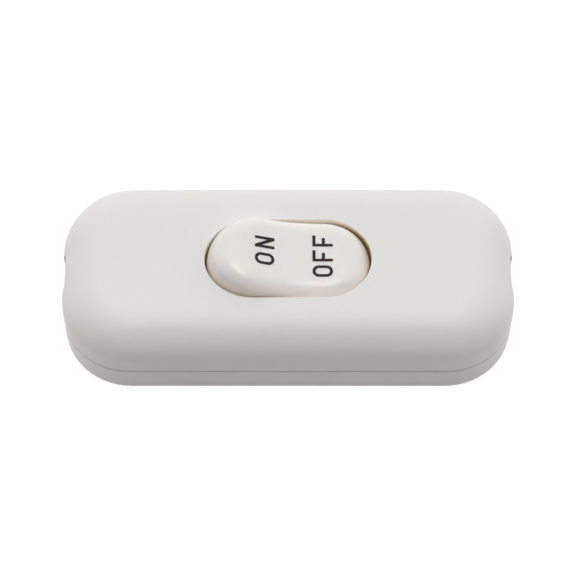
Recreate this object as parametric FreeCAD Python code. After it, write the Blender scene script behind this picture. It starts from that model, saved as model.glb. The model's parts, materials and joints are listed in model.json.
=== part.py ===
import FreeCAD, Part
import math
import os

# Inline cord switch for a two-core lead: a shallow base tray and a deep upper shell screwed together,
# with a see-saw rocker that tips a spring-loaded contact. Millimetres, +Z up, X along the lead.
# The origin is the middle of the underside. The solids stand as with the OFF side pressed.

Vec = FreeCAD.Vector

# Housing
case_length = 62.0
case_width = 26.0
case_height = 13.85
crown_radius = 1040.0
corner_radius = 9.4
top_edge_radius = 5.5
foot_edge_radius = 0.9
parting_height = 5.25
wall = 1.8
roof = 1.8
floor = 1.6
seam_chamfer = 0.22
lip_height = 1.2
lip_wall = 0.9
rib = 1.0

# Clearances
running_gap = 0.05
slip_gap = 0.1
seat_gap = 0.1
part_gap = 0.4

# Channel for the lead, the same at both ends
channel_width = 5.8
channel_height = 6.0
channel_corner = 1.3

# Rocker and its window, which takes a share of the housing
window_length_share = 0.366
window_width_share = 0.458
window_shoulder_share = 0.0954
window_end_share = 0.905
window_edge_radius = 0.15
window_gap = 0.13
rocker_angle = 10.3
rocker_face_height = 3.3
rocker_edge_radius = 2.0
rocker_bow_share = 0.31
rocker_bow_radius = 5.5
rocker_bow_turn = 60.0
rocker_valley_radius = 22.0
rocker_wall = 1.4
rocker_skirt = 1.4
pivot_depth = 2.75
trunnion_radius = 1.3
trunnion_reach = 1.5
collar_wall = 1.3
collar_depth = 2.8
stop_radius = 1.0
stop_bearing = 40.0

# Spring plunger in the rocker's stem
stem_wall = 0.7
bore_radius = 1.5
bore_top = 1.2
plunger_gap = 0.08
plunger_nose = 1.4
plunger_guide = 1.4
plunger_clear = 0.12
spring_radius = 1.1
spring_wire = 0.34
spring_turns = 5
runs_per_turn = 10

# See-saw contact
contact_reach = 8.8
contact_width = 3.8
contact_thickness = 1.0
contact_lift = 0.1
fulcrum_height = 4.9
fulcrum_radius = 0.45
tip_inset = 1.0
tip_radius = 1.3
tip_height = 0.7
tip_dome = 4.0
fixed_tip_height = 0.45

# Terminals, stamped from one thickness of strip
sheet = 0.8
bend_radius = 0.4
strip_width = 2.4
jog_width = 1.5
lug_height = 4.0
lug_length_share = 0.081
lug_width = 4.8
live_neutral_gap = 4.4
link_height = 2.8
washer_side = 4.4
washer_thickness = 0.8

# Cord clamps
clamp_length_share = 0.061
clamp_wall = 1.3
clamp_foot = 1.8
clamp_seat_height = 6.0
clamp_post_radius = 2.1

# Screws
case_screw_radius = 1.25
case_screw_length = 7.0
case_screw_head_radius = 2.1
case_screw_head_height = 1.6
case_screw_sink = 2.3
case_boss_radius = 2.5
case_boss_merge = 0.2
case_column_radius = 3.4
terminal_screw_radius = 1.5
terminal_screw_length = 3.6
terminal_screw_head_radius = 2.2
terminal_screw_head_height = 1.8
clamp_screw_radius = 1.05
clamp_screw_length = 5.2
clamp_screw_head_radius = 1.8
clamp_screw_head_height = 1.5
cross_share = 0.55
cross_slot = 0.7

# Window: straight sides, then wide shoulders that run into a tighter tip
window_length = window_length_share * case_length
window_width = window_width_share * case_width
end_radius = window_end_share * window_width / 2
end_x = window_length / 2 - end_radius
shoulder_x = end_x - window_shoulder_share * window_width
spread = window_width / 2 - end_radius
shoulder_radius = ((end_x - shoulder_x) ** 2 + spread * (window_width - spread)) / (2 * spread)

# Rocker
rocker_tilt = math.radians(rocker_angle)
rocker_length = window_length - 2 * window_gap
rocker_width = window_width - 2 * window_gap
pivot_height = case_height - pivot_depth
roof_underside = case_height - roof
collar_low = roof_underside - collar_depth

# The skirt's stops stand under the middle of its wall
stop_ring = end_radius - window_gap - rocker_wall / 2
stop_x = end_x + stop_ring * math.cos(math.radians(stop_bearing))
stop_y = stop_ring * math.sin(math.radians(stop_bearing))

# Fittings follow each other outwards from the rocker
lug_length = lug_length_share * case_length
clamp_length = clamp_length_share * case_length
riser_x = stop_x + stop_radius + slip_gap + jog_width
lug_outer = riser_x + lug_length
terminal_x = riser_x + lug_length / 2
terminal_y = (live_neutral_gap + lug_width) / 2
clamp_x = lug_outer + part_gap + clamp_length / 2
clamp_screw_y = channel_width / 2 + clamp_wall + clamp_screw_head_radius + part_gap
post_inner = window_width / 2 + running_gap
post_outer = window_width / 2 + collar_wall - running_gap

# The neutral link stands midway between the posts' feet and the lip
lip_inset = wall + slip_gap
lip_inner = case_width / 2 - lip_inset - lip_wall
link_y = (post_outer + rib + lip_inner - sheet) / 2

# The clamp's bridge just clears the crowned roof, and the channel lies under it
clamp_outer = clamp_x + clamp_length / 2
crown_sag = crown_radius - math.sqrt(crown_radius ** 2 - clamp_outer ** 2)
clamp_top = roof_underside - crown_sag - part_gap
channel_high = clamp_top - clamp_wall
channel_low = channel_high - channel_height

# The case screws stand on the corners' diagonals, against the wall
case_screw_reach = (corner_radius - wall - case_boss_radius + case_boss_merge) / math.sqrt(2)
case_screw_x = case_length / 2 - corner_radius + case_screw_reach
case_screw_y = case_width / 2 - corner_radius + case_screw_reach

# The plunger reaches from the bore to just above the level see-saw
plunger_depth = pivot_height - fulcrum_height - contact_lift - contact_thickness - plunger_clear
stem_depth = plunger_depth - plunger_nose
plunger_top = -stem_depth + plunger_guide

# The see-saw tips until its domed contact meets the fixed one
tip_place = contact_reach - tip_inset
tip_centre = contact_lift - tip_height + tip_dome
tip_meeting = floor + sheet + fixed_tip_height + seat_gap + tip_dome - fulcrum_height
contact_tilt = math.acos(tip_meeting / math.hypot(tip_place, tip_centre)) - math.atan2(tip_place, tip_centre)

# Cutting shapes run past the faces that they cut
over = 1.0


def box(x_low, x_high, y_low, y_high, z_low, z_high):
    """Box between two corners."""
    return Part.makeBox(x_high - x_low, y_high - y_low, z_high - z_low, Vec(x_low, y_low, z_low))


def rod(radius, x, y, z_low, z_high):
    """Upright round bar."""
    return Part.makeCylinder(radius, z_high - z_low, Vec(x, y, z_low))


def cross_rod(radius, y_low, y_high, height):
    """Round bar along Y, over the middle of the case."""
    return Part.makeCylinder(radius, y_high - y_low, Vec(0, y_low, height), Vec(0, 1, 0))


def edges_at(shape, height):
    """Edges that lie flat at one height."""
    return [e for e in shape.Edges if all(abs(v.Z - height) < 1e-5 for v in e.Vertexes)]


def edges_along(shape, axis):
    """Straight edges that run along one axis."""
    found = []
    for edge in shape.Edges:
        run = edge.Vertexes[-1].Point - edge.Vertexes[0].Point
        if isinstance(edge.Curve, Part.Line) and abs(abs(run.normalize() * axis) - 1) < 1e-6:
            found.append(edge)
    return found


def rounded_block(length, width, radius, low, high):
    """Upright prism with a rounded rectangle for its outline."""
    block = box(-length / 2, length / 2, -width / 2, width / 2, low, high)
    return block.makeFillet(radius, edges_along(block, Vec(0, 0, 1)))


def half_oval(inset):
    """The right-hand half of the window's outline, pulled in by inset, as a face."""
    half = window_width / 2 - inset
    tip = end_radius - inset
    shoulder = shoulder_radius - inset
    rise = shoulder_radius - window_width / 2
    lean = math.atan2(rise, end_x - shoulder_x)
    bow = (lean + math.pi / 2) / 2
    start = Vec(shoulder_x, half, 0)
    middle = Vec(shoulder_x + shoulder * math.cos(bow), shoulder * math.sin(bow) - rise, 0)
    meet = Vec(end_x + tip * math.cos(lean), tip * math.sin(lean), 0)

    def front(point):
        return Vec(point.x, -point.y, 0)

    sides = [
        Part.LineSegment(Vec(0, -half, 0), front(start)),
        Part.Arc(front(start), front(middle), front(meet)),
        Part.Arc(front(meet), Vec(end_x + tip, 0, 0), meet),
        Part.Arc(meet, middle, start),
        Part.LineSegment(start, Vec(0, half, 0)),
        Part.LineSegment(Vec(0, half, 0), Vec(0, -half, 0)),
    ]
    return Part.Face(Part.Wire([side.toShape() for side in sides]))


def oval_block(inset, low, high):
    """Upright prism with the window's outline."""
    right = half_oval(inset).extrude(Vec(0, 0, high - low))
    right.translate(Vec(0, 0, low))
    return right.fuse(right.mirror(Vec(0, 0, 0), Vec(1, 0, 0))).removeSplitter()


def case_block(inset, low, high):
    """The housing's outline, pulled in by inset."""
    return rounded_block(case_length - 2 * inset, case_width - 2 * inset, corner_radius - inset, low, high)


def crowned_block(inset, low, high, crown, edge_radius):
    """The housing's outline under a gently crowned top with a soft edge."""
    vault = Part.makeCylinder(crown, 2 * case_width, Vec(0, -case_width, high - crown), Vec(0, 1, 0))
    block = case_block(inset, low, high).common(vault)
    return block.makeFillet(edge_radius, crown_face(block, crown).Edges)


def crown_face(shape, crown):
    """The face that follows the crown."""
    vaults = [f for f in shape.Faces if isinstance(f.Surface, Part.Cylinder)]
    return min(vaults, key=lambda f: abs(f.Surface.Radius - crown))


def cord_channel(x_low, x_high):
    """The space that the lead passes through, with rounded corners."""
    half = channel_width / 2
    block = box(x_low, x_high, -half, half, channel_low, channel_high)
    return block.makeFillet(channel_corner, edges_along(block, Vec(1, 0, 0)))


def both_ends(make):
    """One thing at each end of the case, made from the sign of its X."""
    return [make(-1), make(1)]


def inlet(side):
    """Channel cut through one end wall."""
    outer = side * (case_length / 2 + over)
    inner = side * (case_length / 2 - lip_inset - lip_wall - over)
    return cord_channel(*sorted((outer, inner)))


def case_screw_places():
    """The two case screws stand in opposite corners."""
    return [(-case_screw_x, case_screw_y), (case_screw_x, -case_screw_y)]


def four_places(x, y):
    """The same place in each quarter of the case."""
    return [(sx * x, sy * y) for sx in (-1, 1) for sy in (-1, 1)]


def upper_casing():
    """Deep shell with a soft top edge, the rocker's window and its collar."""
    outer = crowned_block(0, parting_height, case_height, crown_radius, top_edge_radius)
    outer = outer.makeChamfer(seam_chamfer, edges_at(outer, parting_height))
    hollow = crowned_block(
        wall, parting_height - over, roof_underside, crown_radius - roof, top_edge_radius - wall
    )
    collar = oval_block(-collar_wall, collar_low, roof_underside + roof / 2)
    bosses = [
        rod(case_boss_radius, x, y, parting_height, case_height).common(outer) for x, y in case_screw_places()
    ]
    shell = outer.cut(hollow).fuse([collar, *bosses])
    window = oval_block(0, collar_low - over, case_height + over)
    pilot_radius = case_screw_radius + running_gap
    pilot_top = case_screw_sink + case_screw_length + part_gap
    pilots = [rod(pilot_radius, x, y, parting_height - over, pilot_top) for x, y in case_screw_places()]
    shell = shell.cut([window, trunnion_slot(), *pilots, *both_ends(inlet)])
    return shell.makeFillet(window_edge_radius, window_rim(shell))


def window_rim(shell):
    """The window's edges at the top of the shell."""
    half = (window_length + collar_wall) / 2
    top = crown_face(shell, crown_radius)
    return [e for e in top.Edges if e.BoundBox.XMax < half and e.BoundBox.XMin > -half]


def trunnion_slot():
    """Slot that lets the rocker's trunnions up into the collar, with a round top."""
    radius = trunnion_radius + running_gap
    trunnion_end = rocker_width / 2 + trunnion_reach
    collar_side = window_width / 2 + collar_wall
    reach = max(trunnion_end, collar_side) + slip_gap
    slot = box(-radius, radius, -reach, reach, collar_low - over, pivot_height)
    return slot.fuse(cross_rod(radius, -reach, reach, pivot_height))


def lower_casing():
    """Base tray with a lip, posts under the trunnions, stops, platforms and cord saddles."""
    outer = case_block(0, 0, parting_height)
    outer = outer.makeFillet(foot_edge_radius, edges_at(outer, 0))
    outer = outer.makeChamfer(seam_chamfer, edges_at(outer, parting_height))
    lip_top = parting_height + lip_height
    lip = case_block(lip_inset, floor, lip_top)
    lip = lip.cut([
        rod(case_boss_radius + slip_gap, x, y, parting_height, lip_top + over) for x, y in case_screw_places()
    ])
    tray = outer.fuse(lip).cut(case_block(lip_inset + lip_wall, floor, lip_top + over))
    columns, holes, sinks = [], [], []
    for x, y in case_screw_places():
        columns.append(rod(case_column_radius, x, y, floor / 2, parting_height).common(outer))
        holes.append(rod(case_screw_radius + seat_gap, x, y, -over, parting_height + over))
        sinks.append(rod(case_screw_head_radius + seat_gap, x, y, -over, case_screw_sink))
    tray = tray.fuse(columns + trunnion_posts() + contact_guides() + contact_rests() + rocker_stops())
    tray = tray.fuse(lug_platforms() + both_ends(cord_saddle) + clamp_posts()).removeSplitter()
    pilots = [
        rod(clamp_screw_radius + running_gap, x, y, floor, clamp_seat_height + over)
        for x, y in four_places(clamp_x, clamp_screw_y)
    ]
    wells = [
        rod(terminal_screw_radius + seat_gap, x, y, floor, lug_height + over)
        for x, y in four_places(terminal_x, terminal_y)
    ]
    return tray.cut(holes + sinks + pilots + wells + both_ends(inlet))


def trunnion_posts():
    """Posts that carry the rocker's trunnions from below, one each side, stouter below the collar."""
    neck = trunnion_radius - seat_gap
    cradle = cross_rod(trunnion_radius + running_gap, -post_outer - over, post_outer + over, pivot_height)
    shoulder = collar_low - part_gap
    posts = []
    for side in (-1, 1):
        tall = box(-neck, neck, *sorted((side * post_inner, side * post_outer)), floor / 2, pivot_height)
        foot_ends = sorted((side * post_inner, side * (post_outer + rib)))
        foot = box(-neck - rib, neck + rib, *foot_ends, floor / 2, shoulder)
        posts.append(tall.cut(cradle).fuse(foot))
    return posts


def contact_guides():
    """Ribs that keep the see-saw on its blade, one each side."""
    near = contact_width / 2 + 2 * slip_gap
    top = fulcrum_height + contact_lift + contact_thickness / 2
    return [box(-rib, rib, *sorted((side * near, side * (near + rib))), floor / 2, top) for side in (-1, 1)]


def contact_rests():
    """Ribs that the see-saw's free arm comes down on, one each side of the strip."""
    near = strip_width / 2 + 2 * slip_gap
    far_x = -tip_place - rib / 2
    arm_height = fulcrum_height + contact_lift / math.cos(contact_tilt) + far_x * math.tan(contact_tilt)
    return [
        box(far_x, far_x + rib, *sorted((side * near, side * (near + rib))), floor / 2, arm_height - seat_gap)
        for side in (-1, 1)
    ]


def rocker_stops():
    """Four pillars that the rocker's skirt comes down on."""
    far_x = stop_x + stop_radius
    skirt_height = pivot_height - far_x * math.tan(rocker_tilt) - rocker_skirt / math.cos(rocker_tilt)
    top = skirt_height - seat_gap
    return [rod(stop_radius, x, y, floor / 2, top) for x, y in four_places(stop_x, stop_y)]


def lug_platforms():
    """Blocks under the four terminal lugs."""
    blocks = []
    for sx, sy in four_places(1, 1):
        x_ends = sorted((sx * (riser_x + bend_radius), sx * lug_outer))
        y_ends = sorted((sy * (terminal_y - lug_width / 2), sy * (terminal_y + lug_width / 2)))
        blocks.append(box(*x_ends, *y_ends, floor / 2, lug_height))
    return blocks


def cord_saddle(side):
    """Upright rib with the lower half of the channel cut in it, under one clamp."""
    half = channel_width / 2 + clamp_wall
    x_low = side * clamp_x - clamp_length / 2 + slip_gap
    x_high = side * clamp_x + clamp_length / 2 - slip_gap
    upright = box(x_low, x_high, -half, half, floor / 2, clamp_seat_height - seat_gap)
    return upright.cut(cord_channel(x_low - over, x_high + over))


def clamp_posts():
    """Round posts that the clamps are screwed down on."""
    return [
        rod(clamp_post_radius, x, y, floor / 2, clamp_seat_height)
        for x, y in four_places(clamp_x, clamp_screw_y)
    ]


def cord_clamp(side):
    """Bridge over the lead with a foot each side."""
    half = channel_width / 2 + clamp_wall
    x_low = side * clamp_x - clamp_length / 2
    x_high = side * clamp_x + clamp_length / 2
    bridge = box(x_low, x_high, -half, half, clamp_seat_height, clamp_top)
    ridges = [e for e in edges_along(bridge, Vec(1, 0, 0)) if abs(e.Vertexes[0].Z - clamp_top) < 1e-5]
    bridge = bridge.makeFillet(channel_corner + clamp_wall, ridges)
    reach = clamp_screw_y + clamp_post_radius
    feet = box(x_low, x_high, -reach, reach, clamp_seat_height, clamp_seat_height + clamp_foot)
    feet = feet.makeFillet(clamp_length / 2 - seat_gap, edges_along(feet, Vec(0, 0, 1)))
    holes = [
        rod(clamp_screw_radius + seat_gap, side * clamp_x, y, clamp_seat_height - over, clamp_top)
        for y in (-clamp_screw_y, clamp_screw_y)
    ]
    return bridge.fuse(feet).removeSplitter().cut([cord_channel(x_low - over, x_high + over), *holes])


def rocker_drum(inset):
    """The solid that the rocker's plan outline sweeps as it turns about its pivot, pulled in by inset."""
    return half_oval(window_gap + inset).revolve(Vec(0, 0, 0), Vec(0, 1, 0), 360)


def rocker_side_view(drop, low):
    """The rocker's two faces, the soft valley between them and their bowed ends, lowered by drop, along Y."""
    height = rocker_face_height - drop
    valley = height / math.cos(rocker_tilt)
    blend = rocker_valley_radius * math.sin(rocker_tilt)
    trough = valley + rocker_valley_radius * (1 / math.cos(rocker_tilt) - 1)
    half = rocker_width / 2 + over
    bow_start = rocker_bow_share * rocker_length

    def bow_point(turn):
        """X and Z on the right-hand bow, after it has turned by some degrees."""
        bow = rocker_bow_radius - drop
        lean = rocker_tilt - math.radians(turn)
        x = bow_start * math.cos(rocker_tilt) - height * math.sin(rocker_tilt)
        z = bow_start * math.sin(rocker_tilt) + height * math.cos(rocker_tilt)
        x += bow * (math.sin(rocker_tilt) - math.sin(lean))
        z += bow * (math.cos(lean) - math.cos(rocker_tilt))
        return x, z

    reach = rocker_length / 2 + over
    bow_x, bow_z = bow_point(rocker_bow_turn)
    fall = math.tan(math.radians(rocker_bow_turn) - rocker_tilt)
    profile = [
        (blend, valley + blend * math.tan(rocker_tilt)),
        bow_point(0),
        bow_point(rocker_bow_turn / 2),
        (bow_x, bow_z),
        (reach, bow_z - (reach - bow_x) * fall),
        (reach, low),
    ]
    start, bow, bow_middle, bow_end, tail, foot = [Vec(x, -half, z) for x, z in profile]
    start_2, bow_2, bow_middle_2, bow_end_2, tail_2, foot_2 = [Vec(-x, -half, z) for x, z in profile]
    sides = [
        Part.LineSegment(foot_2, foot),
        Part.LineSegment(foot, tail),
        Part.LineSegment(tail, bow_end),
        Part.Arc(bow_end, bow_middle, bow),
        Part.LineSegment(bow, start),
        Part.Arc(start, Vec(0, -half, trough), start_2),
        Part.LineSegment(start_2, bow_2),
        Part.Arc(bow_2, bow_middle_2, bow_end_2),
        Part.LineSegment(bow_end_2, tail_2),
        Part.LineSegment(tail_2, foot_2),
    ]
    outline = Part.Wire([side.toShape() for side in sides])
    return Part.Face(outline).extrude(Vec(0, 2 * half, 0))


def set_on_pivot(shape):
    """Turns a piece of the rocker from level to OFF pressed, and lifts it to the pivot."""
    shape.rotate(Vec(0, 0, 0), Vec(0, 1, 0), rocker_angle)
    shape.translate(Vec(0, 0, pivot_height))
    return shape


def rocker():
    """Hollow see-saw button with trunnions and a stem for the spring."""
    body = rocker_drum(0).common(rocker_side_view(0, -rocker_skirt))
    lowest_face = rocker_face_height - seat_gap
    rim = [e for e in body.Edges if all(v.Z > lowest_face for v in e.Vertexes)]
    across = [e.hashCode() for e in edges_along(body, Vec(0, 1, 0))]
    rim = [e for e in rim if e.hashCode() not in across]
    body = body.makeFillet(rocker_edge_radius, rim)
    hollow = rocker_drum(rocker_wall).common(rocker_side_view(rocker_wall, -rocker_skirt - over))
    stem = rod(bore_radius + stem_wall, 0, 0, -stem_depth, rocker_face_height - rocker_wall / 2)
    side = rocker_width / 2
    trunnions = [
        cross_rod(trunnion_radius, side - rocker_wall / 2, side + trunnion_reach, 0),
        cross_rod(trunnion_radius, -side - trunnion_reach, -side + rocker_wall / 2, 0),
    ]
    body = body.cut(hollow).fuse([stem, *trunnions]).removeSplitter()
    return set_on_pivot(body.cut(rod(bore_radius, 0, 0, -stem_depth - over, bore_top)))


def plunger():
    """Bullet that the spring pushes out of the stem."""
    radius = bore_radius - plunger_gap
    shoulder = -plunger_depth + radius
    bullet = rod(radius, 0, 0, shoulder, plunger_top)
    nose = Part.makeSphere(radius, Vec(0, 0, shoulder))
    return set_on_pivot(bullet.fuse(nose).removeSplitter())


def plunger_spring():
    """Coil spring between the plunger and the end of its bore, bent from short straight runs."""
    low = plunger_top + spring_wire / 2 + running_gap
    high = bore_top - spring_wire / 2 - running_gap
    runs = spring_turns * runs_per_turn
    path = []
    for run in range(runs + 1):
        turn = 2 * math.pi * run / runs_per_turn
        height = low + (high - low) * run / runs
        path.append(Vec(spring_radius * math.cos(turn), spring_radius * math.sin(turn), height))
    ring = Part.Circle(path[0], path[1] - path[0], spring_wire / 2)
    mitred = 1
    coil = Part.makePolygon(path).makePipeShell([Part.Wire(ring.toShape())], True, False, mitred)
    return set_on_pivot(coil)


def set_on_fulcrum(shape):
    """Tips a piece of the see-saw from level to open, and lifts it to the fulcrum."""
    shape.rotate(Vec(0, 0, 0), Vec(0, 1, 0), -math.degrees(contact_tilt))
    shape.translate(Vec(0, 0, fulcrum_height))
    return shape


def rocking_contact():
    """Bar that rocks on the fulcrum, grooved to sit on it."""
    half = contact_width / 2
    bar = box(-contact_reach, contact_reach, -half, half, contact_lift, contact_lift + contact_thickness)
    bar = bar.makeFillet(half / 2, edges_along(bar, Vec(0, 0, 1)))
    return set_on_fulcrum(bar.cut(cross_rod(fulcrum_radius + running_gap, -half - over, half + over, 0)))


def moving_contact_tip():
    """Domed contact under the see-saw's working arm."""
    low = contact_lift - tip_height
    button = rod(tip_radius, tip_place, 0, low, contact_lift)
    return set_on_fulcrum(button.common(Part.makeSphere(tip_dome, Vec(tip_place, 0, low + tip_dome))))


def fixed_contact_tip():
    """Flat contact on the line terminal."""
    base = floor + sheet
    return rod(tip_radius, tip_place, 0, base, base + fixed_tip_height)


def live_terminal(inner_end):
    """Strip on the floor that jogs to the front and steps up to a screw lug, for the right-hand end."""
    top = floor + sheet
    lug_top = lug_height + sheet
    jog_x = riser_x - jog_width
    rise_x = riser_x - sheet
    front = -terminal_y - lug_width / 2
    back = -terminal_y + lug_width / 2
    corners = [
        (jog_x, floor), (riser_x, floor), (riser_x, lug_height), (lug_outer, lug_height),
        (lug_outer, lug_top), (rise_x, lug_top), (rise_x, top), (jog_x, top),
    ]
    outline = Part.makePolygon([Vec(x, front, z) for x, z in [*corners, corners[0]]])
    step = Part.Face(outline).extrude(Vec(0, lug_width, 0))
    outside = bend_radius + sheet
    bends = [(riser_x, floor, outside), (riser_x, lug_height, bend_radius),
             (rise_x, lug_top, outside), (rise_x, top, bend_radius)]
    for x, z, radius in bends:
        corner = Vec(x, front, z)
        folds = edges_along(step, Vec(0, 1, 0))
        step = step.makeFillet(radius, [e for e in folds if e.Vertexes[0].Point.isEqual(corner, 1e-5)])
    jog = box(jog_x, riser_x, back, strip_width / 2, floor, top)
    run = box(inner_end, riser_x, -strip_width / 2, strip_width / 2, floor, top)
    return step.fuse([jog, run]).removeSplitter().cut(terminal_hole(1, -1))


def terminal_hole(side, row):
    """Threaded hole through one lug."""
    radius = terminal_screw_radius + running_gap
    return rod(radius, side * terminal_x, row * terminal_y, lug_height - over, lug_height + sheet + over)


def fulcrum_terminal():
    """Left live terminal, with the blade that the see-saw rocks on."""
    half = strip_width / 2
    blade = box(-fulcrum_radius, fulcrum_radius, -half, half, floor, fulcrum_height)
    blade = blade.fuse(cross_rod(fulcrum_radius, -half, half, fulcrum_height))
    strip = live_terminal(-half).mirror(Vec(0, 0, 0), Vec(1, 0, 0))
    return strip.fuse(blade).removeSplitter()


def line_terminal():
    """Right live terminal, under the fixed contact."""
    return live_terminal(tip_place - tip_radius - part_gap)


def neutral_link():
    """Bar along the back wall that joins the two neutral lugs."""
    near = terminal_y - lug_width / 2
    far = link_y + sheet
    bar = box(-lug_outer, lug_outer, link_y, far, lug_height, lug_height + link_height)
    lugs = []
    for side in (-1, 1):
        x_ends = sorted((side * riser_x, side * lug_outer))
        lugs.append(box(*x_ends, near, far, lug_height, lug_height + sheet))
    return bar.fuse(lugs).removeSplitter().cut([terminal_hole(-1, 1), terminal_hole(1, 1)])


def screw(radius, length, head_radius, head_height):
    """Cross-head screw, head up, its head's underside at the origin."""
    head = rod(head_radius, 0, 0, 0, head_height)
    head = head.makeFillet(head_height / 2, edges_at(head, head_height))
    shank = rod(radius, 0, 0, -length, 0)
    shank = shank.makeChamfer(radius / 3, edges_at(shank, -length))
    half, slot = head_radius * cross_share, cross_slot / 2
    deep = head_height / 3
    cross = box(-half, half, -slot, slot, deep, head_height + over)
    cross = cross.fuse(box(-slot, slot, -half, half, deep, head_height + over))
    return head.fuse(shank).removeSplitter().cut(cross)


def screws_at(places, height, radius, length, head_radius, head_height, upside_down=False):
    """A group of like screws with their heads seated at one height."""
    group = []
    for x, y in places:
        piece = screw(radius, length, head_radius, head_height)
        if upside_down:
            piece.rotate(Vec(0, 0, 0), Vec(1, 0, 0), 180)
        piece.translate(Vec(x, y, height))
        group.append(piece)
    return Part.makeCompound(group)


def case_screws():
    """Screws driven up through the base into the upper casing's bosses."""
    return screws_at(
        case_screw_places(), case_screw_sink, case_screw_radius, case_screw_length,
        case_screw_head_radius, case_screw_head_height, upside_down=True,
    )


def terminal_screws():
    """Screws that hold the wires to the four lugs."""
    return screws_at(
        four_places(terminal_x, terminal_y), lug_height + sheet + washer_thickness,
        terminal_screw_radius, terminal_screw_length, terminal_screw_head_radius, terminal_screw_head_height,
    )


def terminal_washers():
    """Square pressure plates under the terminal screws' heads."""
    half = washer_side / 2
    low = lug_height + sheet
    group = []
    for x, y in four_places(terminal_x, terminal_y):
        plate = box(x - half, x + half, y - half, y + half, low, low + washer_thickness)
        hole = rod(terminal_screw_radius + running_gap, x, y, low - over, low + washer_thickness + over)
        group.append(plate.cut(hole))
    return Part.makeCompound(group)


def clamp_screws():
    """Screws that hold the cord clamps down."""
    return screws_at(
        four_places(clamp_x, clamp_screw_y), clamp_seat_height + clamp_foot, clamp_screw_radius,
        clamp_screw_length, clamp_screw_head_radius, clamp_screw_head_height,
    )


def main():
    """Writes each piece to its own file."""
    os.makedirs("parts", exist_ok=True)
    pieces = {
        "upper_casing": upper_casing(),
        "lower_casing": lower_casing(),
        "case_screws": case_screws(),
        "rocker": rocker(),
        "plunger": plunger(),
        "plunger_spring": plunger_spring(),
        "rocking_contact": rocking_contact(),
        "moving_contact_tip": moving_contact_tip(),
        "fixed_contact_tip": fixed_contact_tip(),
        "fulcrum_terminal": fulcrum_terminal(),
        "line_terminal": line_terminal(),
        "neutral_link": neutral_link(),
        "terminal_screws": terminal_screws(),
        "terminal_washers": terminal_washers(),
        "left_cord_clamp": cord_clamp(-1),
        "right_cord_clamp": cord_clamp(1),
        "clamp_screws": clamp_screws(),
    }
    for name, shape in pieces.items():
        shape.exportStep(f"parts/{name}.step")
        print(name, len(shape.Solids), "valid" if shape.isValid() else "not valid", f"{shape.Volume:.2f} mm3")
    print(f"rocker travel {2 * rocker_angle:.4f} deg")
    print(f"see-saw travel {2 * math.degrees(contact_tilt):.4f} deg")


main()
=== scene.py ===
import json
import math
from collections import namedtuple

import bmesh
import bpy
from bpy.props import FloatProperty, FloatVectorProperty, PointerProperty
from mathutils import Matrix, Vector


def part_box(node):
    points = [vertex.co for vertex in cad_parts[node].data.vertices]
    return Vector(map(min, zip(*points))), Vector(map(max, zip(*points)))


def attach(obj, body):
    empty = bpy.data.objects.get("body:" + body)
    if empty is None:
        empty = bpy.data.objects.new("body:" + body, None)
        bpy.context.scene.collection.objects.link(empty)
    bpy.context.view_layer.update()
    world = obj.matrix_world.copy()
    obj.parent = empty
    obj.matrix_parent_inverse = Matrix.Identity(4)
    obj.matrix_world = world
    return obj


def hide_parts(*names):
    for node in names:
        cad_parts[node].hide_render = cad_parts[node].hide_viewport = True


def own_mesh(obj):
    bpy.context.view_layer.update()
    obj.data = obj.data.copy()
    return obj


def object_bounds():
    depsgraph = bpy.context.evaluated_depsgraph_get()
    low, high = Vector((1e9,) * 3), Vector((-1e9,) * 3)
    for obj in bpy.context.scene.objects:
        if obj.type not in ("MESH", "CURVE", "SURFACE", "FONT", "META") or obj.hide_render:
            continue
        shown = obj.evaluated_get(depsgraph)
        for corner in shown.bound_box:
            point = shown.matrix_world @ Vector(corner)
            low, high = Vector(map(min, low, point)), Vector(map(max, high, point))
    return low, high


bl_info = {
    "name": "Inline Cord Switch",
    "version": (1, 0, 0),
    "blender": (4, 5, 0),
    "location": "View3D > Sidebar > Cord Switch",
    "description": "Finishes the solids of an inline cord switch, prints its rocker and sets up its studio",
    "category": "Object",
}

# The solids, in metres: X runs along the lead towards OFF, Y away from the camera and Z up
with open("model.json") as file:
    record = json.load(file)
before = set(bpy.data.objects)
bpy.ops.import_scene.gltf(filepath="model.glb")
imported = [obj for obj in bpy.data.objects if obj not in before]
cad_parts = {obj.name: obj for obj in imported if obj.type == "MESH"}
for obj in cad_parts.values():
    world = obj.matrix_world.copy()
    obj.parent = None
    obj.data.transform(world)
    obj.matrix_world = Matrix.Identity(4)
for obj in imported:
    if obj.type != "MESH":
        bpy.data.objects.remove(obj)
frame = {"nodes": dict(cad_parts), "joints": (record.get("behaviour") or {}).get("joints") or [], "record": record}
cad_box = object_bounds()
solids = frame["nodes"]
cad_seam, cad_roof = (corner.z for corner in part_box("upper_casing"))
slot_colours = {row["slot"]: row["base_color"] for row in frame["record"]["materials"]}

# The rocker's window: half the sides of a box round it, how far the crowned top falls along the box, the
# depths below the roof between which the painted warm light on its wall turns into painted shade, and the
# depth at which it ends. Past a place on the OFF side the shade comes sooner, towards the front later
WINDOW_REACH = 0.0118
WINDOW_DEPTH = 0.0064
CROWN_FALL = 0.00008
WALL_LIGHT = 0.0011
WALL_DARK = 0.0022
WALL_END = 0.005
SOONER_AT_OFF = 0.22
SOONER_FROM = 0.004
LATER_AT_FRONT = 0.5

# Painted shade in the groove along the parting line thins out from its middle to past its edges. In
# patches of one size it draws in further
GROOVE_DEEP = 0.00002
GROOVE_EDGE = 0.00045
SHADE_PATCH = 0.003
SHADE_DRAWN_IN = 0.00025

# The rocker's sides carry painted warm light at a distance from its spine, which ends at the centres of its
# round ends, and from a height above the casing's roof down to it
SPINE_END = 0.0059
SIDE_NEAR = 0.0045
SIDE_FAR = 0.0055
SIDE_TOP = 0.0025

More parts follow.
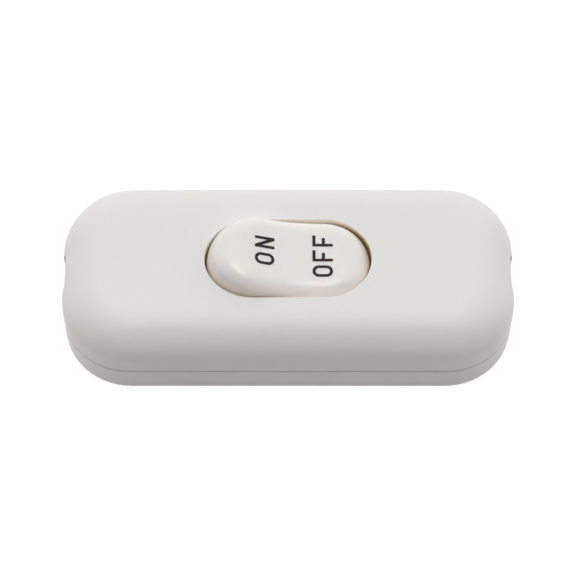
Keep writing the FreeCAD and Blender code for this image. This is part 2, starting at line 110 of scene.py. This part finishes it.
# Moulded plastics: the size of the clouds in the colour and how much they change it, the lowest roughness,
# how much is added to it in patches and their size, and the size and depth of the mould's grain
Plastic = namedtuple("Plastic", "cloud contrast rough uneven patch grain depth")
CASING = Plastic(
    cloud=0.011, contrast=0.015, rough=0.4, uneven=0.1, patch=0.0024, grain=0.00022, depth=0.0000025
)
ROCKER = Plastic(
    cloud=0.006, contrast=0.015, rough=0.16, uneven=0.08, patch=0.0016, grain=0.0006, depth=0.0000015
)
CLAMP = Plastic(
    cloud=0.004, contrast=0.05, rough=0.45, uneven=0.12, patch=0.0012, grain=0.00025, depth=0.000004
)
CASING_IOR = 1.46
ROCKER_IOR = 1.5

# Light in pale plastic: the share that goes in, how deep, and how far each colour spreads
CASING_LIT = 0.3
CASING_LIT_DEPTH = 0.0012
ROCKER_LIT = 0.4
ROCKER_LIT_DEPTH = 0.0015
LIGHT_SPREAD = (1.0, 0.62, 0.38)

# Metals: the size of the streaks along each axis and the lowest roughness. All share the roughness that a
# streak adds, its depth, the size of the tarnish, and the darkest and lightest share of the colour
Metal = namedtuple("Metal", "streak rough")
BRASS = Metal(streak=(0.004, 0.0003, 0.0003), rough=0.24)
SILVER = Metal(streak=(0.0004, 0.0004, 0.0004), rough=0.3)
ZINC = Metal(streak=(0.0005, 0.0005, 0.0002), rough=0.22)
SPRING = Metal(streak=(0.0008, 0.0008, 0.0001), rough=0.2)
STREAK_ROUGH = 0.2
STREAK_DEPTH = 0.000003
TARNISH = 0.0018
METAL_DARK = 0.8
METAL_LIGHT = 1.1

# Ink: the size of its clouds, their darkest and lightest share of the colour, its roughness and its sheen
INK_CLOUD = 0.0003
INK_DARK = 0.8
INK_LIGHT = 1.3
INK_ROUGH = 0.45
INK_UNEVEN = 0.15
INK_SHEEN = 0.25

# The words: points on a round letter, cuts through each face so that it can bend, and how many thicknesses
# of ink a word starts above its face
ROUND_POINTS = 50
SHEET_CUTS = 3
START_HEIGHT = 5

# Light from all round: how much a side counts as the back, and where along the depth it grows and is full
SIDE_AS_BACK = 0.45
GROWS_FROM = -0.6
FULL_FROM = 0.2

# The floor lies a hair below the switch, and with its glow and the light on it goes just past white
FLOOR_GAP = 0.0001
FLOOR_WHITE = 1.1
WHITE = (1.0, 1.0, 1.0, 1.0)

# The photograph's side in pixels and the camera's sensor in millimetres
FRAME_PIXELS = 576
SENSOR = 36.0

# The Mix node's sockets for colours, which share their names with its other sockets
MIX_LOW = 6
MIX_HIGH = 7
MIX_RESULT = 2

# Points nearer than this count as one
TINY = 1e-6


def length(name, description, default):
    """A size in metres."""
    return FloatProperty(name=name, description=description, default=default, unit="LENGTH", precision=5)


def level(name, description, default):
    """A plain number."""
    return FloatProperty(name=name, description=description, default=default, min=0.0, subtype="UNSIGNED")


def colour(name, description, default):
    """A linear colour."""
    return FloatVectorProperty(
        name=name, description=description, default=default, subtype="COLOR", size=3, min=0.0, max=1.0
    )


class CordSwitchFinishes(bpy.types.PropertyGroup):
    """Colours of the materials"""

    casing: colour("Casing", "Satin plastic of both shells", slot_colours["casing_plastic"])
    # The groove colour is painted shade for the dark line along the parting line
    groove: colour("Groove", "Dust in the groove along the parting line", (0.56, 0.54, 0.53))
    # Painted warm light on the upper wall of the window and painted shade deeper down
    painted_window_wall: colour("Window wall", "Top of the window's wall, in warm light", (1.0, 0.95, 0.81))
    window_deep_shade: colour("Deep wall", "The window's wall further down", (0.46, 0.34, 0.16))
    rocker: colour("Rocker", "Glossy plastic of the rocker", slot_colours["rocker_plastic"])
    # Painted warm light on the rocker's sides, warmer round ON than round OFF
    on_side_warm_light: colour("ON side", "Sides of the rocker round ON, in warm light", (0.93, 0.8, 0.725))
    off_side_warm_light: colour("OFF side", "Sides of the rocker round OFF, less warm", (0.965, 0.885, 0.865))
    clamp: colour("Clamps", "Plastic of the cord clamps", slot_colours["clamp_plastic"])
    brass: colour("Brass", "Stamped terminals, plunger and see-saw", slot_colours["brass"])
    zinc: colour("Zinc", "Plated screws and washers", slot_colours["zinc_steel"])
    spring: colour("Spring", "Drawn wire of the plunger's spring", slot_colours["spring_steel"])
    silver: colour("Silver", "Faces of the contacts", slot_colours["contact_silver"])
    ink: colour("Ink", "Printed words on the rocker", (0.0175, 0.009, 0.008))


class CordSwitchLettering(bpy.types.PropertyGroup):
    """Sizes of the words on the rocker"""

    cap_height: length("Cap height", "Height of the letters", 0.00277)
    stroke: length("Stroke", "Width of every stroke", 0.00042)
    o_width: length("O width", "Width of the round letter", 0.00176)
    n_width: length("N width", "Width over the two stems", 0.00171)
    f_width: length("F width", "Length of the top arm, stem included", 0.0017)
    f_arm: length("F arm", "Length of the middle arm, stem included", 0.00132)
    on_gap: length("ON gap", "Space between the letters of ON", 0.00075)
    off_gap: length("OFF gap", "Space between the letters of OFF", 0.00059)
    on_place: length("ON place", "X of the middle of ON", -0.00316)
    off_place: length("OFF place", "X of the middle of OFF", 0.0047)
    on_shift: length("ON shift", "Y of the middle of ON", 0.00009)
    off_shift: length("OFF shift", "Y of the middle of OFF", -0.00002)
    ink_thickness: length("Ink thickness", "How far the print stands on the face", 0.00002)


class CordSwitchStudio(bpy.types.PropertyGroup):
    """Camera and light"""

    elevation: FloatProperty(
        name="Elevation",
        description="Camera above the horizon",
        default=math.radians(62.37),
        subtype="ANGLE",
    )
    distance: length("Distance", "Camera from the middle of the switch", 0.3269)
    target_height: length("Target height", "Height that the camera circles", 0.008)
    drop: length("Drop", "How far below the target the picture's middle lies", 0.00139)
    focal_pixels: level("Focal length", "Camera's focal length in pixels of the photograph", 2370.0)
    front_level: level("Front level", "Light from the camera's side", 0.0)
    back_level: level("Back level", "Light from the back and the sides", 0.88)
    side_level: level("Side level", "Light added straight from the sides", 0.22)
    back_fall: level("Back fall", "How much of that light is missing straight behind", 0.22)
    softbox_level: level("Softbox level", "Brightness of the softbox overhead", 2.85)
    softbox_size: length("Softbox size", "Side of the softbox", 0.5)
    softbox_height: length("Softbox height", "Softbox above the floor", 0.75)
    floor_size: length("Floor size", "Side of the floor", 4.0)
    floor_tone: colour("Floor tone", "What the floor gives back of the light on it", (0.74, 0.7, 0.7))
    floor_glow: level("Floor glow", "White that the floor shows before any light falls on it", 0.9)


class Wire:
    """A shader socket that can be counted with: each operator adds its Math node."""

    def __init__(self, tree, socket=None):
        self.tree = tree
        self.socket = socket

    def node(self, kind, settings=None, sockets=None, output=0):
        """Adds a node, sets it up, fills or links its sockets, and gives one of its outputs."""
        made = self.tree.nodes.new(kind)
        for name, value in (settings or {}).items():
            setattr(made, name, value)
        for name, value in (sockets or {}).items():
            if isinstance(value, Wire):
                value.feed(made.inputs[name])
            else:
                made.inputs[name].default_value = value
        return Wire(self.tree, made.outputs[output])

    def also(self, output):
        """Another output of the same node."""
        return Wire(self.tree, self.socket.node.outputs[output])

    def feed(self, socket):
        """Links this wire to a socket."""
        self.tree.links.new(self.socket, socket)

    def math(self, operation, *terms):
        """One Math node."""
        return self.node("ShaderNodeMath", {"operation": operation}, dict(enumerate(terms)))

    def between(self, low, high):
        """The colour that goes from low to high as this wire goes from 0 to 1."""
        sockets = {0: self, MIX_LOW: low, MIX_HIGH: high}
        return self.node("ShaderNodeMix", {"data_type": "RGBA"}, sockets, MIX_RESULT)

    def __add__(self, other):
        return self.math("ADD", self, other)

    def __sub__(self, other):
        return self.math("SUBTRACT", self, other)

    def __rsub__(self, other):
        return self.math("SUBTRACT", other, self)

    def __mul__(self, other):
        return self.math("MULTIPLY", self, other)

    __radd__ = __add__
    __rmul__ = __mul__


def shade(tone, factor=1.0):
    """A colour as a socket takes it, made darker or lighter."""
    return (*(min(channel * factor, 1.0) for channel in tone), 1.0)


def new_finish(name):
    """A material, the sockets of its shader, and the object's own coordinates to build on."""
    finish = bpy.data.materials.new(name)
    finish.use_nodes = True
    shader = finish.node_tree.nodes["Principled BSDF"].inputs
    place = Wire(finish.node_tree).node("ShaderNodeTexCoord", output="Object")
    return finish, shader, place


def split(place):
    """X, Y and Z of a place."""
    x = place.node("ShaderNodeSeparateXYZ", sockets={"Vector": place})
    return x, x.also("Y"), x.also("Z")


def noise(place, size, detail=2.0):
    """Even random cloud from 0 to 1, with features of one size."""
    return place.node("ShaderNodeTexNoise", sockets={"Vector": place, "Scale": 1 / size, "Detail": detail})


def ramp(value, start, end):
    """0 up to the start, 1 from the end on."""
    return value.node("ShaderNodeMapRange", sockets={"Value": value, "From Min": start, "From Max": end})


def relief(height, depth, shader):
    """Raises a surface by up to a depth."""
    bump = height.node("ShaderNodeBump", sockets={"Strength": 1.0, "Distance": depth, "Height": height})
    bump.feed(shader["Normal"])


def mould(place, shader, tone, plastic):
    """Gives moulded plastic its roughness and grain, and returns its slightly clouded colour."""
    (plastic.rough + plastic.uneven * noise(place, plastic.patch)).feed(shader["Roughness"])
    relief(noise(place, plastic.grain), plastic.depth, shader)
    cloud = noise(place, plastic.cloud, detail=3.0)
    return cloud.between(shade(tone, 1 - plastic.contrast), shade(tone, 1 + plastic.contrast))


def lit_through(shader, share, depth):
    """Lets light into pale plastic, where it spreads furthest in red."""
    shader["Subsurface Weight"].default_value = share
    shader["Subsurface Radius"].default_value = LIGHT_SPREAD
    shader["Subsurface Scale"].default_value = depth


def painted_window_wall(place, light, dark):
    """The painted warm light and shade of the window's wall, and 1 on that wall and 0 on the rest of the outside.
    """
    x, y, z = split(place)
    depth = cad_roof - z
    front = y.math("MINIMUM", y, 0.0)
    right = x.math("MAXIMUM", x - SOONER_FROM, 0.0)
    # Painted shade: darker with depth, sooner on the OFF side and later towards the front
    painted_wall_shade = ramp(depth + SOONER_AT_OFF * right + LATER_AT_FRONT * front, WALL_LIGHT, WALL_DARK)
    beside = x.math("LESS_THAN", x.math("ABSOLUTE", x), WINDOW_REACH)
    behind = y.math("LESS_THAN", y.math("ABSOLUTE", y), WINDOW_DEPTH)
    sunk = ramp(depth, CROWN_FALL, 2 * CROWN_FALL) * depth.math("LESS_THAN", depth, WALL_END)
    return painted_wall_shade.between(shade(light), shade(dark)), sunk * beside * behind


def outside_groove_shade(place):
    """0 where shade is painted in the groove along the parting line, 1 on the rest of the casing."""
    z = split(place)[2]
    drawn_in = SHADE_DRAWN_IN * noise(place, SHADE_PATCH)
    # Painted shade in the groove, reaching further in patches
    return ramp(z.math("ABSOLUTE", z - cad_seam) + drawn_in, GROOVE_DEEP, GROOVE_EDGE)


def casing_finish(colours):
    """Satin white plastic, with painted shade in its groove and painted warm light and shade on the wall round the
    rocker.
    """
    finish, shader, place = new_finish("casing_plastic")
    plain = mould(place, shader, colours.casing, CASING)
    # Painted shade in the groove along the parting line
    groove_shaded = outside_groove_shade(place).between(shade(colours.groove), plain)
    wall, inside = painted_window_wall(place, colours.painted_window_wall, colours.window_deep_shade)
    # Painted warm light and shade on the window's wall
    inside.between(groove_shaded, wall).feed(shader["Base Color"])
    shader["IOR"].default_value = CASING_IOR
    lit_through(shader, CASING_LIT, CASING_LIT_DEPTH)
    return finish


def painted_side_light(place, on_tone, off_tone):
    """The painted warm light on the rocker's sides, and how much of it shows: 1 near the casing, 0 on the faces.
    """
    x, y, z = split(place)
    past = x.math("MAXIMUM", x.math("ABSOLUTE", x) - SPINE_END, 0.0)
    outer = ramp(x.math("SQRT", past * past + y * y), SIDE_NEAR, SIDE_FAR)
    low = ramp(cad_roof + SIDE_TOP - z, 0.0, SIDE_TOP)
    return ramp(x, -SPINE_END, 0.0).between(shade(on_tone), shade(off_tone)), outer * low


def rocker_finish(colours):
    """Glossy ivory plastic, with painted warm light on its sides."""
    finish, shader, place = new_finish("rocker_plastic")
    plain = mould(place, shader, colours.rocker, ROCKER)
    side, amount = painted_side_light(place, colours.on_side_warm_light, colours.off_side_warm_light)
    # Painted warm light on the rocker's sides
    amount.between(plain, side).feed(shader["Base Color"])
    shader["IOR"].default_value = ROCKER_IOR
    lit_through(shader, ROCKER_LIT, ROCKER_LIT_DEPTH)
    return finish


def clamp_finish(colours):
    """Satin grey plastic."""
    finish, shader, place = new_finish("clamp_plastic")
    mould(place, shader, colours.clamp, CLAMP).feed(shader["Base Color"])
    return finish


def metal_finish(name, tone, metal):
    """Metal with fine streaks and a little tarnish."""
    finish, shader, place = new_finish(name)
    scale = tuple(1 / size for size in metal.streak)
    lie = place.node("ShaderNodeMapping", sockets={"Vector": place, "Scale": scale})
    streak = noise(lie, 1.0, detail=3.0)
    tarnish = noise(place, TARNISH, detail=4.0)
    worn = 0.5 * streak + 0.5 * tarnish
    worn.between(shade(tone, METAL_DARK), shade(tone, METAL_LIGHT)).feed(shader["Base Color"])
    (metal.rough + STREAK_ROUGH * streak).feed(shader["Roughness"])
    relief(streak, STREAK_DEPTH, shader)
    shader["Metallic"].default_value = 1.0
    return finish


def ink_finish(colours):
    """Dark pad print, slightly uneven."""
    finish, shader, place = new_finish("lettering_ink")
    cloud = noise(place, INK_CLOUD, detail=3.0)
    cloud.between(shade(colours.ink, INK_DARK), shade(colours.ink, INK_LIGHT)).feed(shader["Base Color"])
    (INK_ROUGH + INK_UNEVEN * cloud).feed(shader["Roughness"])
    shader["Specular IOR Level"].default_value = INK_SHEEN
    return finish


def dress(finish, *nodes):
    """Gives solids of the frame a finish."""
    for node in nodes:
        solids[node].material_slots[0].material = finish


def squeeze_spring():
    """Swaps the plunger's spring for a copy of its own, attached to the rocker's body."""
    spring = solids["plunger_spring"]
    coil = bpy.data.objects.new("squeezed_spring", spring.data.copy())
    bpy.context.scene.collection.objects.link(coil)
    coil.matrix_world = spring.matrix_world
    coil.material_slots[0].material = spring.material_slots[0].material
    slide = next(joint for joint in frame["joints"] if joint["name"] == "plunger_slide")
    along = Vector(slide["axis"])
    heights = [corner.co.dot(along) for corner in coil.data.vertices]
    kept = 1 - max(slide["range_m"]) / (max(heights) - min(heights))
    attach(coil, "rocker_body")
    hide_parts("plunger_spring")
    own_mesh(coil)


def start_letter(add, **size):
    """Adds a primitive in the plane of the word, with its place in its mesh, and opens it."""
    bpy.ops.object.select_all(action="DESELECT")
    add(**size)
    bpy.ops.object.transform_apply(location=True, rotation=True, scale=True)
    bpy.ops.object.mode_set(mode="EDIT")
    return bpy.context.object


def pick_edges(piece, test):
    """Selects the edges whose two ends both pass a test."""
    bpy.ops.mesh.select_mode(type="EDGE")
    bpy.ops.mesh.select_all(action="DESELECT")
    shape = bmesh.from_edit_mesh(piece.data)
    for edge in shape.edges:
        edge.select_set(all(test(corner.co) for corner in edge.verts))
    bmesh.update_edit_mesh(piece.data)


def pick_upright(piece, x, low, high):
    """Selects the edge at one x that runs between two heights."""
    pick_edges(piece, lambda co: abs(co.x - x) < TINY and low - TINY < co.y < high + TINY)


def pick_level(piece, y):
    """Selects the edge at one height."""
    pick_edges(piece, lambda co: abs(co.y - y) < TINY)


def draw_out(*moves):
    """Draws the selected edge out, once for each move."""
    for x, y in moves:
        bpy.ops.mesh.extrude_edges_move(TRANSFORM_OT_translate={"value": (x, y, 0)})


def letter_o(sizes, left):
    """Ring with half-round ends and straight sides."""
    outer = sizes.o_width / 2
    inner = outer - sizes.stroke
    middle = (left + outer, outer, 0)
    circle = bpy.ops.mesh.primitive_circle_add
    ring = start_letter(circle, vertices=ROUND_POINTS, radius=outer, location=middle)
    circle(vertices=ROUND_POINTS, radius=inner, location=middle)
    pick_edges(ring, lambda co: co.y > outer)
    bpy.ops.transform.translate(value=(0, sizes.cap_height - sizes.o_width, 0))
    pick_edges(ring, lambda co: True)
    bpy.ops.mesh.bridge_edge_loops()
    bpy.ops.object.mode_set(mode="OBJECT")
    return ring, left + sizes.o_width


def start_stem(stroke, left):
    """Square foot of a stem, with its top edge selected."""
    foot = (left + stroke / 2, stroke / 2, 0)
    stem = start_letter(bpy.ops.mesh.primitive_plane_add, size=stroke, location=foot)
    pick_level(stem, stroke)
    return stem


def letter_f(sizes, left):
    """Stem with two arms, the lower one a little below the middle."""
    stroke, cap = sizes.stroke, sizes.cap_height
    arm_low = (cap - stroke) / 2 - stroke / 4
    arm_high = arm_low + stroke
    stem = start_stem(stroke, left)
    draw_out((0, arm_low - stroke), (0, stroke), (0, cap - stroke - arm_high), (0, stroke))
    pick_upright(stem, left + stroke, arm_low, arm_high)
    draw_out((sizes.f_arm - stroke, 0))
    pick_upright(stem, left + stroke, cap - stroke, cap)
    draw_out((sizes.f_width - stroke, 0))
    bpy.ops.object.mode_set(mode="OBJECT")
    return stem, left + sizes.f_width


def letter_n(sizes, left):
    """Two stems and the slanted stroke between them."""
    stroke, cap = sizes.stroke, sizes.cap_height
    right = left + sizes.n_width
    across = sizes.n_width - 2 * stroke
    slant = stroke * math.hypot(across, cap - 2 * stroke) / across
    stems = start_stem(stroke, left)
    draw_out((0, cap - slant - stroke), (0, slant))
    bpy.ops.mesh.primitive_plane_add(size=stroke, location=(right - stroke / 2, cap - stroke / 2, 0))
    pick_edges(stems, lambda co: co.x > right - stroke - TINY and abs(co.y - cap + stroke) < TINY)
    draw_out((0, slant + stroke - cap), (0, -slant))
    pick_edges(stems, lambda co: (
        abs(co.x - left - stroke) < TINY and co.y > cap - slant - TINY
        or abs(co.x - right + stroke) < TINY and co.y < slant + TINY
    ))
    bpy.ops.mesh.bridge_edge_loops()
    bpy.ops.object.mode_set(mode="OBJECT")
    return stems, right


def divide_sheet(word):
    """Turns every face of a flat word up and divides it, so that it can follow a curve."""
    bpy.ops.object.mode_set(mode="EDIT")
    bpy.ops.mesh.select_mode(type="FACE")
    bpy.ops.mesh.select_all(action="DESELECT")
    shape = bmesh.from_edit_mesh(word.data)
    for face in shape.faces:
        face.select_set(face.normal.z < 0)
    bmesh.update_edit_mesh(word.data)
    bpy.ops.mesh.flip_normals()
    bpy.ops.mesh.select_all(action="SELECT")
    bpy.ops.mesh.subdivide(number_cuts=SHEET_CUTS)
    bpy.ops.object.mode_set(mode="OBJECT")


def draw_word(name, letters, sizes, gap):
    """Draws a word flat, as one sheet, and gives its length too."""
    drawn = []
    end = -gap
    for letter in letters:
        shape, end = letter(sizes, end + gap)
        drawn.append(shape)
    bpy.ops.object.select_all(action="DESELECT")
    for shape in drawn:
        shape.select_set(True)
    word = drawn[0]
    bpy.context.view_layer.objects.active = word
    bpy.ops.object.join()
    word.name = name
    word.data.name = name
    divide_sheet(word)
    return word, end


def print_word(name, letters, sizes, gap, x, y):
    """Lays a word on the rocker's face, with its middle over a place, and gives the ink its thickness."""
    word, end = draw_word(name, letters, sizes, gap)
    hit, spot, normal, _ = solids["rocker"].ray_cast(Vector((x, y, 1)), Vector((0, 0, -1)))
    if not hit:
        raise RuntimeError(f"{name} has no face under it")
    reading = Vector((0, 1, 0))
    upright = normal.cross(reading)
    lie = Matrix((reading, upright, normal)).transposed().to_4x4()
    centre = Vector((end / 2, sizes.cap_height / 2, 0))
    lift = normal * START_HEIGHT * sizes.ink_thickness
    word.matrix_world = Matrix.Translation(spot + lift) @ lie @ Matrix.Translation(-centre)
    bpy.ops.object.transform_apply(location=True, rotation=True, scale=True)
    wrap = word.modifiers.new("lie on the face", "SHRINKWRAP")
    wrap.target = solids["rocker"]
    wrap.wrap_method = "NEAREST_SURFACEPOINT"
    wrap.wrap_mode = "ABOVE_SURFACE"
    wrap.offset = sizes.ink_thickness
    body = word.modifiers.new("ink", "SOLIDIFY")
    body.thickness = sizes.ink_thickness
    body.offset = -1
    for modifier in (wrap, body):
        bpy.ops.object.modifier_apply(modifier=modifier.name)
    return word


def shown_ray(wire):
    """1 on rays that show a background: from the camera, or by way of a reflection or glass."""
    path = wire.node("ShaderNodeLightPath", output="Is Camera Ray")
    seen = path + path.also("Is Glossy Ray") + path.also("Is Transmission Ray")
    return path.math("MINIMUM", seen, 1.0)


def light_world(studio):
    """Soft light from the back and the sides. The background itself is white."""
    world = bpy.data.worlds.new("studio")
    bpy.context.scene.world = world
    world.use_nodes = True
    tree = world.node_tree
    start = Wire(tree)
    aside, depth, _ = split(start.node("ShaderNodeTexCoord", output="Generated"))
    sideways = aside * aside
    strength = start.node("ShaderNodeMapRange", {"interpolation_type": "SMOOTHSTEP"}, {
        "Value": depth + SIDE_AS_BACK * sideways, "From Min": GROWS_FROM, "From Max": FULL_FROM,
        "To Min": studio.front_level, "To Max": studio.back_level,
    })
    strength += studio.side_level * sideways * sideways
    strength -= studio.back_fall * depth.math("MAXIMUM", depth - FULL_FROM, 0.0)
    light = start.node("ShaderNodeBackground", sockets={"Color": WHITE, "Strength": strength})
    white = start.node("ShaderNodeBackground", sockets={"Color": WHITE, "Strength": 1.0})
    both = start.node("ShaderNodeMixShader", sockets={0: shown_ray(start), 1: light, 2: white})
    both.feed(tree.nodes["World Output"].inputs["Surface"])


def lay_floor(studio):
    """Pale floor that shows white and keeps a soft shadow."""
    bpy.ops.object.select_all(action="DESELECT")
    height = cad_box[0].z - FLOOR_GAP
    bpy.ops.mesh.primitive_plane_add(size=studio.floor_size, location=(0, 0, height))
    floor = bpy.context.object
    floor.name = "floor"
    bpy.ops.object.transform_apply(location=True, rotation=True, scale=True)
    finish = bpy.data.materials.new("floor")
    finish.use_nodes = True
    tree = finish.node_tree
    start = Wire(tree)
    lit = start.node("ShaderNodeBsdfDiffuse", sockets={"Color": shade(studio.floor_tone)})
    share = FLOOR_WHITE - studio.floor_glow
    veil = start.node("ShaderNodeBsdfDiffuse", sockets={"Color": shade(WHITE[:3], share)})
    glow = start.node("ShaderNodeEmission", sockets={"Color": WHITE, "Strength": studio.floor_glow})
    shown = start.node("ShaderNodeAddShader", sockets={0: veil, 1: glow})
    both = start.node("ShaderNodeMixShader", sockets={0: shown_ray(start), 1: lit, 2: shown})
    both.feed(tree.nodes["Material Output"].inputs["Surface"])
    floor.data.materials.append(finish)


def hang_softbox(studio):
    """Softbox straight above the switch."""
    lamp = bpy.data.lights.new("softbox", "AREA")
    lamp.size = studio.softbox_size
    lamp.energy = studio.softbox_level * math.pi * studio.softbox_size ** 2
    softbox = bpy.data.objects.new("softbox", lamp)
    softbox.location = (0, 0, studio.softbox_height)
    bpy.context.scene.collection.objects.link(softbox)


def place_camera(studio):
    """Camera at the photograph's angle."""
    rise = studio.elevation
    target = Vector((0, 0, studio.target_height))
    place = target + Vector((0, -math.cos(rise), math.sin(rise))) * studio.distance
    aim = target - Vector((0, math.sin(rise), math.cos(rise))) * studio.drop
    camera = bpy.data.objects.new("camera", bpy.data.cameras.new("camera"))
    camera.data.sensor_width = SENSOR
    camera.data.lens = SENSOR * studio.focal_pixels / FRAME_PIXELS
    camera.location = place
    camera.rotation_euler = (aim - place).to_track_quat("-Z", "Y").to_euler()
    bpy.context.scene.collection.objects.link(camera)
    bpy.context.scene.camera = camera


class CORDSWITCH_OT_housing(bpy.types.Operator):
    """Finish the two shells of the housing"""

    bl_idname = "cord_switch.housing"
    bl_label = "Housing"

    def execute(self, context):
        finish = casing_finish(context.scene.cord_switch_finishes)
        dress(finish, "upper_casing", "lower_casing")
        return {"FINISHED"}


class CORDSWITCH_OT_rocker(bpy.types.Operator):
    """Finish the rocker"""

    bl_idname = "cord_switch.rocker"
    bl_label = "Rocker"

    def execute(self, context):
        finish = rocker_finish(context.scene.cord_switch_finishes)
        dress(finish, "rocker")
        return {"FINISHED"}


class CORDSWITCH_OT_clamps(bpy.types.Operator):
    """Finish the two cord clamps"""

    bl_idname = "cord_switch.clamps"
    bl_label = "Cord clamps"

    def execute(self, context):
        finish = clamp_finish(context.scene.cord_switch_finishes)
        dress(finish, "left_cord_clamp", "right_cord_clamp")
        return {"FINISHED"}


class CORDSWITCH_OT_brasswork(bpy.types.Operator):
    """Finish the terminals, the see-saw and the plunger"""

    bl_idname = "cord_switch.brasswork"
    bl_label = "Brasswork"

    def execute(self, context):
        finish = metal_finish("brass", context.scene.cord_switch_finishes.brass, BRASS)
        dress(finish, "fulcrum_terminal", "line_terminal", "neutral_link", "rocking_contact", "plunger")
        return {"FINISHED"}


class CORDSWITCH_OT_contacts(bpy.types.Operator):
    """Finish the two contact tips"""

    bl_idname = "cord_switch.contacts"
    bl_label = "Contact tips"

    def execute(self, context):
        finish = metal_finish("contact_silver", context.scene.cord_switch_finishes.silver, SILVER)
        dress(finish, "moving_contact_tip", "fixed_contact_tip")
        return {"FINISHED"}


class CORDSWITCH_OT_screws(bpy.types.Operator):
    """Finish the screws and washers"""

    bl_idname = "cord_switch.screws"
    bl_label = "Screws and washers"

    def execute(self, context):
        finish = metal_finish("zinc_steel", context.scene.cord_switch_finishes.zinc, ZINC)
        dress(finish, "case_screws", "terminal_screws", "terminal_washers", "clamp_screws")
        return {"FINISHED"}


class CORDSWITCH_OT_spring(bpy.types.Operator):
    """Finish the plunger's spring and swap it for a copy on the rocker's body"""

    bl_idname = "cord_switch.spring"
    bl_label = "Spring"

    def execute(self, context):
        finish = metal_finish("spring_steel", context.scene.cord_switch_finishes.spring, SPRING)
        dress(finish, "plunger_spring")
        squeeze_spring()
        return {"FINISHED"}


class CORDSWITCH_OT_lettering(bpy.types.Operator):
    """Print ON and OFF on the rocker"""

    bl_idname = "cord_switch.lettering"
    bl_label = "Lettering"

    def execute(self, context):
        sizes = context.scene.cord_switch_lettering
        ink = ink_finish(context.scene.cord_switch_finishes)
        on = (letter_o, letter_n)
        off = (letter_o, letter_f, letter_f)
        words = (
            print_word("on_lettering", on, sizes, sizes.on_gap, sizes.on_place, sizes.on_shift),
            print_word("off_lettering", off, sizes, sizes.off_gap, sizes.off_place, sizes.off_shift),
        )
        for word in words:
            word.data.materials.append(ink)
            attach(word, "rocker_body")
        return {"FINISHED"}


class CORDSWITCH_OT_stage(bpy.types.Operator):
    """Set up the floor, the light and the camera"""

    bl_idname = "cord_switch.stage"
    bl_label = "Stage"

    def execute(self, context):
        studio = context.scene.cord_switch_studio
        context.scene.view_settings.view_transform = "Standard"
        light_world(studio)
        lay_floor(studio)
        hang_softbox(studio)
        place_camera(studio)
        return {"FINISHED"}


pieces = (
    CORDSWITCH_OT_housing,
    CORDSWITCH_OT_rocker,
    CORDSWITCH_OT_clamps,
    CORDSWITCH_OT_brasswork,
    CORDSWITCH_OT_contacts,
    CORDSWITCH_OT_screws,
    CORDSWITCH_OT_spring,
    CORDSWITCH_OT_lettering,
    CORDSWITCH_OT_stage,
)

groups = {
    "cord_switch_finishes": CordSwitchFinishes,
    "cord_switch_lettering": CordSwitchLettering,
    "cord_switch_studio": CordSwitchStudio,
}


class CORDSWITCH_PT_sidebar(bpy.types.Panel):
    """Lists the pieces and what can be changed on them"""

    bl_idname = "CORDSWITCH_PT_sidebar"
    bl_label = "Inline Cord Switch"
    bl_space_type = "VIEW_3D"
    bl_region_type = "UI"
    bl_category = "Cord Switch"

    def draw(self, context):
        for piece in pieces:
            self.layout.operator(piece.bl_idname)
        for group in groups:
            box = self.layout.box()
            settings = getattr(context.scene, group)
            for name in settings.bl_rna.properties.keys():
                if name not in ("rna_type", "name"):
                    box.prop(settings, name)


def register():
    for owner in (*groups.values(), *pieces, CORDSWITCH_PT_sidebar):
        bpy.utils.register_class(owner)
    for name, group in groups.items():
        setattr(bpy.types.Scene, name, PointerProperty(type=group))


def unregister():
    for name in groups:
        delattr(bpy.types.Scene, name)
    for owner in (CORDSWITCH_PT_sidebar, *reversed(pieces), *groups.values()):
        bpy.utils.unregister_class(owner)


def main():
    """Makes every piece."""
    register()
    for piece in pieces:
        family, name = piece.bl_idname.split(".")
        getattr(getattr(bpy.ops, family), name)()


if __name__ == "__main__":
    main()
